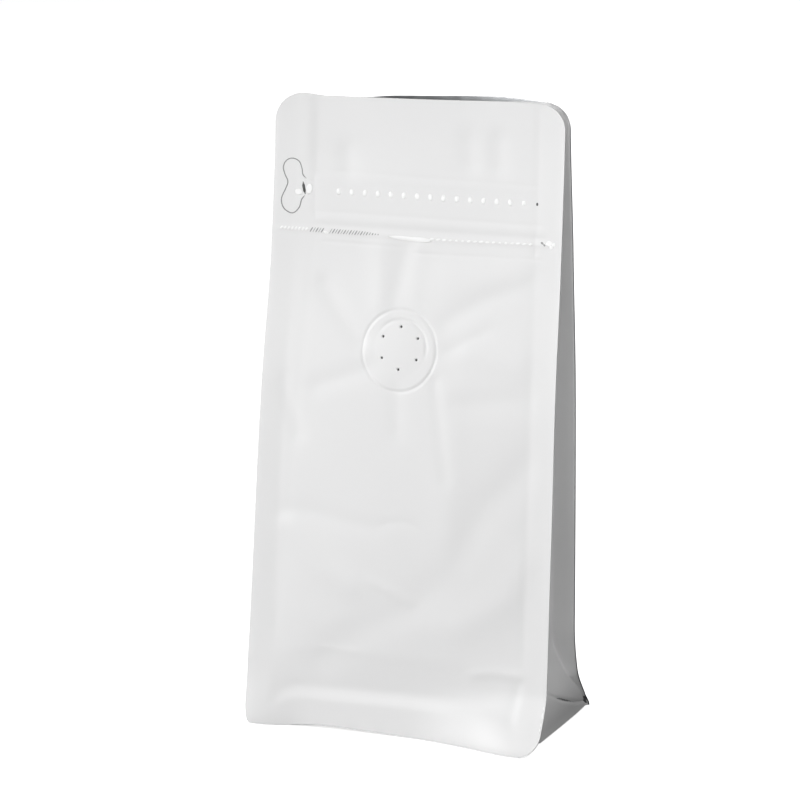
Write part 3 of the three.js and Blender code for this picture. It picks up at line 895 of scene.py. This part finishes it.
# Painted light, stretch by stretch: the white beads are painted highlights, the grey ones a painted dark
# reflection.
painted_highlight_teeth = [(x, zip_height(x), 0.30, 0.62, 0.05, -30) for x in run(-41.0, -33.0, 1.1)]
painted_reflection_teeth = [
    (x, zip_height(x), 0.15 + 0.05 * math.sin(3.7 * x), 0.75 * float(smooth((-9 - x) / 9)) + 0.1, 0.05, -32)
    for x in run(-31.8, -11.0, 0.86)
    if not -28.2 < x < -26.4
]
painted_highlight_points = [
    (x, zip_height(x) - 0.1, 0.55 + 0.16 * math.sin(2.9 * x), 0.32 + 0.05 * math.sin(1.7 * x), 0.06, 15)
    for x in run(5.2, 36.5, 1.85)
]
painted_highlight_middle = [(-1.9, 144.0, 6.2, 0.6, 0.10, -3.5), (1.6, 143.9, 3.6, 0.72, 0.11, -2.5)]
painted_highlight_speck = [(-27.3, 144.5, 0.8, 0.4, 0.07, -20)]
painted_highlight_end = [
    (40.3, 144.9, 0.9, 0.8, 0.08, 0),
    (41.7, 144.6, 0.55, 0.6, 0.08, 0),
    (40.9, 143.8, 0.5, 0.6, 0.08, -20),
]
painted_reflection_end = [(38.2, 144.9, 0.5, 0.3, 0.05, -30), (38.9, 144.4, 0.4, 0.25, 0.05, -45)]
beads("zipper_painted_highlights", white_print_and_painted_highlight, painted_highlight_teeth + painted_highlight_points + painted_highlight_middle + painted_highlight_speck + painted_highlight_end, sides=16)
beads("zipper_teeth_painted_reflection", painted_dark_reflection, painted_reflection_teeth + painted_reflection_end)

# %% [markdown]
# ## The pull tab
# The tab is die-cut: a knife cut follows its outline, and the cut lies in shade. A real cut through the mesh
# would need cells as small as its line. The line is a thin grey ribbon instead, painted shade laid along a
# closed curve through a few points, and the slot at its neck is a wider, near-black one, painted shade too.
# Two white beads beside the slot are painted highlights.

# %% Measures of the tab
TAB = (
    (-34.2, 154.9), (-35.2, 153.6), (-35.9, 151.2), (-37.9, 149.6), (-40.5, 150.8), (-41.4, 153.5),
    (-40.2, 156.6), (-39.6, 158.6), (-40.6, 160.8), (-41.1, 162.8), (-40.2, 164.7), (-38.3, 165.4),
    (-36.3, 164.6), (-35.4, 162.7), (-35.0, 160.8), (-33.9, 159.8),
)
TAB_LINE = 0.3
SLOT = ((-34.9, 158.8), (-34.6, 157.0), (-34.1, 155.2))
SLOT_LINE = 0.8
RIBBON_LIFT = 0.04
RIBBON_THICK = 0.04
TAPER = 3  # steps over which a ribbon's ends grow to its width


# %% Helpers for a ribbon
def spline(points, count):
    """Points at even steps on a smooth curve through the given ones."""
    points = np.array(points, float)
    along = np.concatenate([[0], np.cumsum(np.hypot(*np.diff(points, axis=0).T))])
    at = np.linspace(0, along[-1], count)
    padded = np.vstack([2 * points[0] - points[1], points, 2 * points[-1] - points[-2]])
    out = []
    for place in at:
        i = min(np.searchsorted(along, place, side="right"), len(points) - 1)
        a, b, c, d = padded[i - 1 : i + 3]
        t = (place - along[i - 1]) / (along[i] - along[i - 1])
        bend = (2 * a - 5 * b + 4 * c - d) * t**2 + (3 * b - a - 3 * c + d) * t**3
        out.append(0.5 * (2 * b + (c - a) * t + bend))
    return np.array(out)


def ribbon(name, points, width, count, finish):
    """A thin ribbon that lies on the front web along a curve."""
    path = spline(points, count)
    way = np.gradient(path, axis=0)
    way /= np.hypot(*way.T)[:, None]
    taper = np.clip(np.minimum(np.arange(count), np.arange(count)[::-1]) / TAPER, 0.25, 1)

    def place(step, side):
        i = np.rint(step).astype(int)
        x = path[i, 0] - way[i, 1] * side * width / 2 * taper[i]
        z = path[i, 1] + way[i, 0] * side * width / 2 * taper[i]
        return x, front_face(x, z) - RIBBON_LIFT, z

    grid = flat_grid(np.arange(count), np.array([-1.0, 1.0]))
    sheet_from(grid, name, place, (finish, finish), thickness=RIBBON_THICK)


# %% Pull tab
# The grey ribbon and the near-black slot are painted shade in the cut; the two white beads are painted
# highlights.
ribbon("tab_cut_painted_shade", TAB, TAB_LINE, 130, cut_painted_shade)
ribbon("tab_slot_painted_shade", SLOT, SLOT_LINE, 12, dark_mark_and_painted_shade)
beads("tab_painted_highlights", white_print_and_painted_highlight, [(-32.9, 156.8, 0.95, 1.6, 0.05, -8), (-36.2, 155.8, 1.2, 0.9, 0.05, -15)])

# %% [markdown]
# ## Valve and zipper
# Both pieces sit behind the front film, and only someone looking into the mouth sees them. Modelling them
# anew would show nothing more, so the solids' own meshes stay and get a finish each: matt white for the
# moulded valve, and a glossier one for the extruded zipper.

# %% Plastic pieces
valve_plastic, valve_shader, at = material("valve_plastic", (0.9, 0.9, 0.89), 0.4)
wear(valve_shader, "Roughness", at.node("ShaderNodeTexNoise", i0=at, Scale=300.0) * 0.15 + 0.35)
zipper_plastic, zipper_shader, at = material("zipper_plastic", (0.86, 0.87, 0.87), 0.3)
wear(zipper_shader, "Roughness", at.node("ShaderNodeTexNoise", i0=at, Scale=180.0) * 0.15 + 0.25)
for node, finish in (("valve", valve_plastic), ("zipper", zipper_plastic)):
    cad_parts[node].data.materials.clear()
    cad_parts[node].data.materials.append(finish)
    print(node, "is finished in", finish.name)

# %% [markdown]
# ## The floor
# A pale floor under a white bag would light it from below and wash out the shade of its side. So the floor is
# laid as a studio does it, with a dark card where it wants depth: a pale sheet that the camera sees, and just
# under it a grey one, and at the right a dark one, that the light bounces from.


# %% Floor
def ground(name, level, shade):
    bm = bmesh.new()
    bmesh.ops.create_grid(bm, x_segments=1, y_segments=1, size=8)
    bmesh.ops.translate(bm, verts=bm.verts, vec=(0, 0, level))
    mesh = bpy.data.meshes.new(name)
    bm.to_mesh(mesh)
    bm.free()
    sheet = bpy.data.objects.new(name, mesh)
    bpy.context.scene.collection.objects.link(sheet)
    finish, shader, _ = material(name, (shade, shade, shade), 0.8)
    mesh.materials.append(finish)
    return sheet, shader


CARD_FROM = 0.046  # the dark card begins just right of the bag

floor, floor_shader = ground("pale_floor", 0, 0.93)
floor_shader.inputs["Emission Color"].default_value = (1, 1, 1, 1)
floor_shader.inputs["Emission Strength"].default_value = 0.72
floor.visible_diffuse = False
floor.visible_glossy = False
table, _ = ground("grey_table", -0.002, 0.6)
table.visible_camera = False
card, _ = ground("dark_card", -0.001, 0.03)
card.visible_camera = False
for vertex in card.data.vertices:
    vertex.co.x = max(vertex.co.x, CARD_FROM)
print("stage:", floor.name, table.name, card.name)

# %% [markdown]
# ## The light
# White film shows its dents only where light grazes it. One broad light from the camera would be the simplest
# and would flatten them all. Here the key comes low from the left and draws the dents, a front box fills, one
# from the rear lights the rims, and a small one at the right lifts the shade of the side.

# %% Light
world = bpy.data.worlds.new("studio")
bpy.context.scene.world = world
world.use_nodes = True
world.node_tree.nodes["Background"].inputs["Color"].default_value = (1, 1, 1, 1)
world.node_tree.nodes["Background"].inputs["Strength"].default_value = 0.24
bpy.context.scene.view_settings.view_transform = "Standard"


def softbox(name, azimuth, elevation, distance, size, power, target=(0, 0, 0.09)):
    """A square area light that looks at the pouch from a direction in degrees."""
    a, e = math.radians(azimuth), math.radians(elevation)
    way = Vector((math.sin(a) * math.cos(e), -math.cos(a) * math.cos(e), math.sin(e)))
    lamp = bpy.data.lights.new(name, "AREA")
    lamp.size = size
    lamp.energy = power
    box = bpy.data.objects.new(name, lamp)
    box.location = Vector(target) + way * distance
    box.rotation_euler = (-way).to_track_quat("-Z", "Y").to_euler()
    bpy.context.scene.collection.objects.link(box)
    print(name, "light,", power, "W")
    return box


softbox("key", -54, 17, 1.7, 0.8, 19)
front_box = softbox("front", -6, 3, 2.2, 1.2, 15.5)
front_box.visible_glossy = False
softbox("rear", -140, 40, 1.7, 0.9, 12)
softbox("side", 40, 14, 0.45, 0.16, 0.85, target=(0.045, 0, 0.175))

# %% [markdown]
# ## The camera
# The photo was taken with a long lens, a little from the right and from above. Its lines could be matched by
# eye, but here the angles, the distance and the lens were fitted to the bag's corners and to the valve's
# pinholes, and stand here as plain numbers.

# %% Camera
AZIMUTH = 19.177
PITCH = 12.138
DISTANCE = 1.00579
AIM_SIDE = -0.006181
AIM_HEIGHT = 0.095511
FOCAL_SHARE = 3443.18 / 800  # focal length over picture width
SENSOR = 36.0

a, p = math.radians(AZIMUTH), math.radians(PITCH)
look = Vector((-math.sin(a) * math.cos(p), math.cos(a) * math.cos(p), -math.sin(p)))
aim = Vector((math.cos(a), math.sin(a), 0)) * AIM_SIDE + Vector((0, to_frame / 1000, AIM_HEIGHT))
lens = bpy.data.cameras.new("camera")
lens.sensor_width = SENSOR
lens.lens = FOCAL_SHARE * SENSOR
camera = bpy.data.objects.new("camera", lens)
camera.location = aim - look * DISTANCE
camera.rotation_euler = look.to_track_quat("-Z", "Y").to_euler()
bpy.context.scene.collection.objects.link(camera)
bpy.context.scene.camera = camera
print("camera with a lens of", round(lens.lens), "mm")
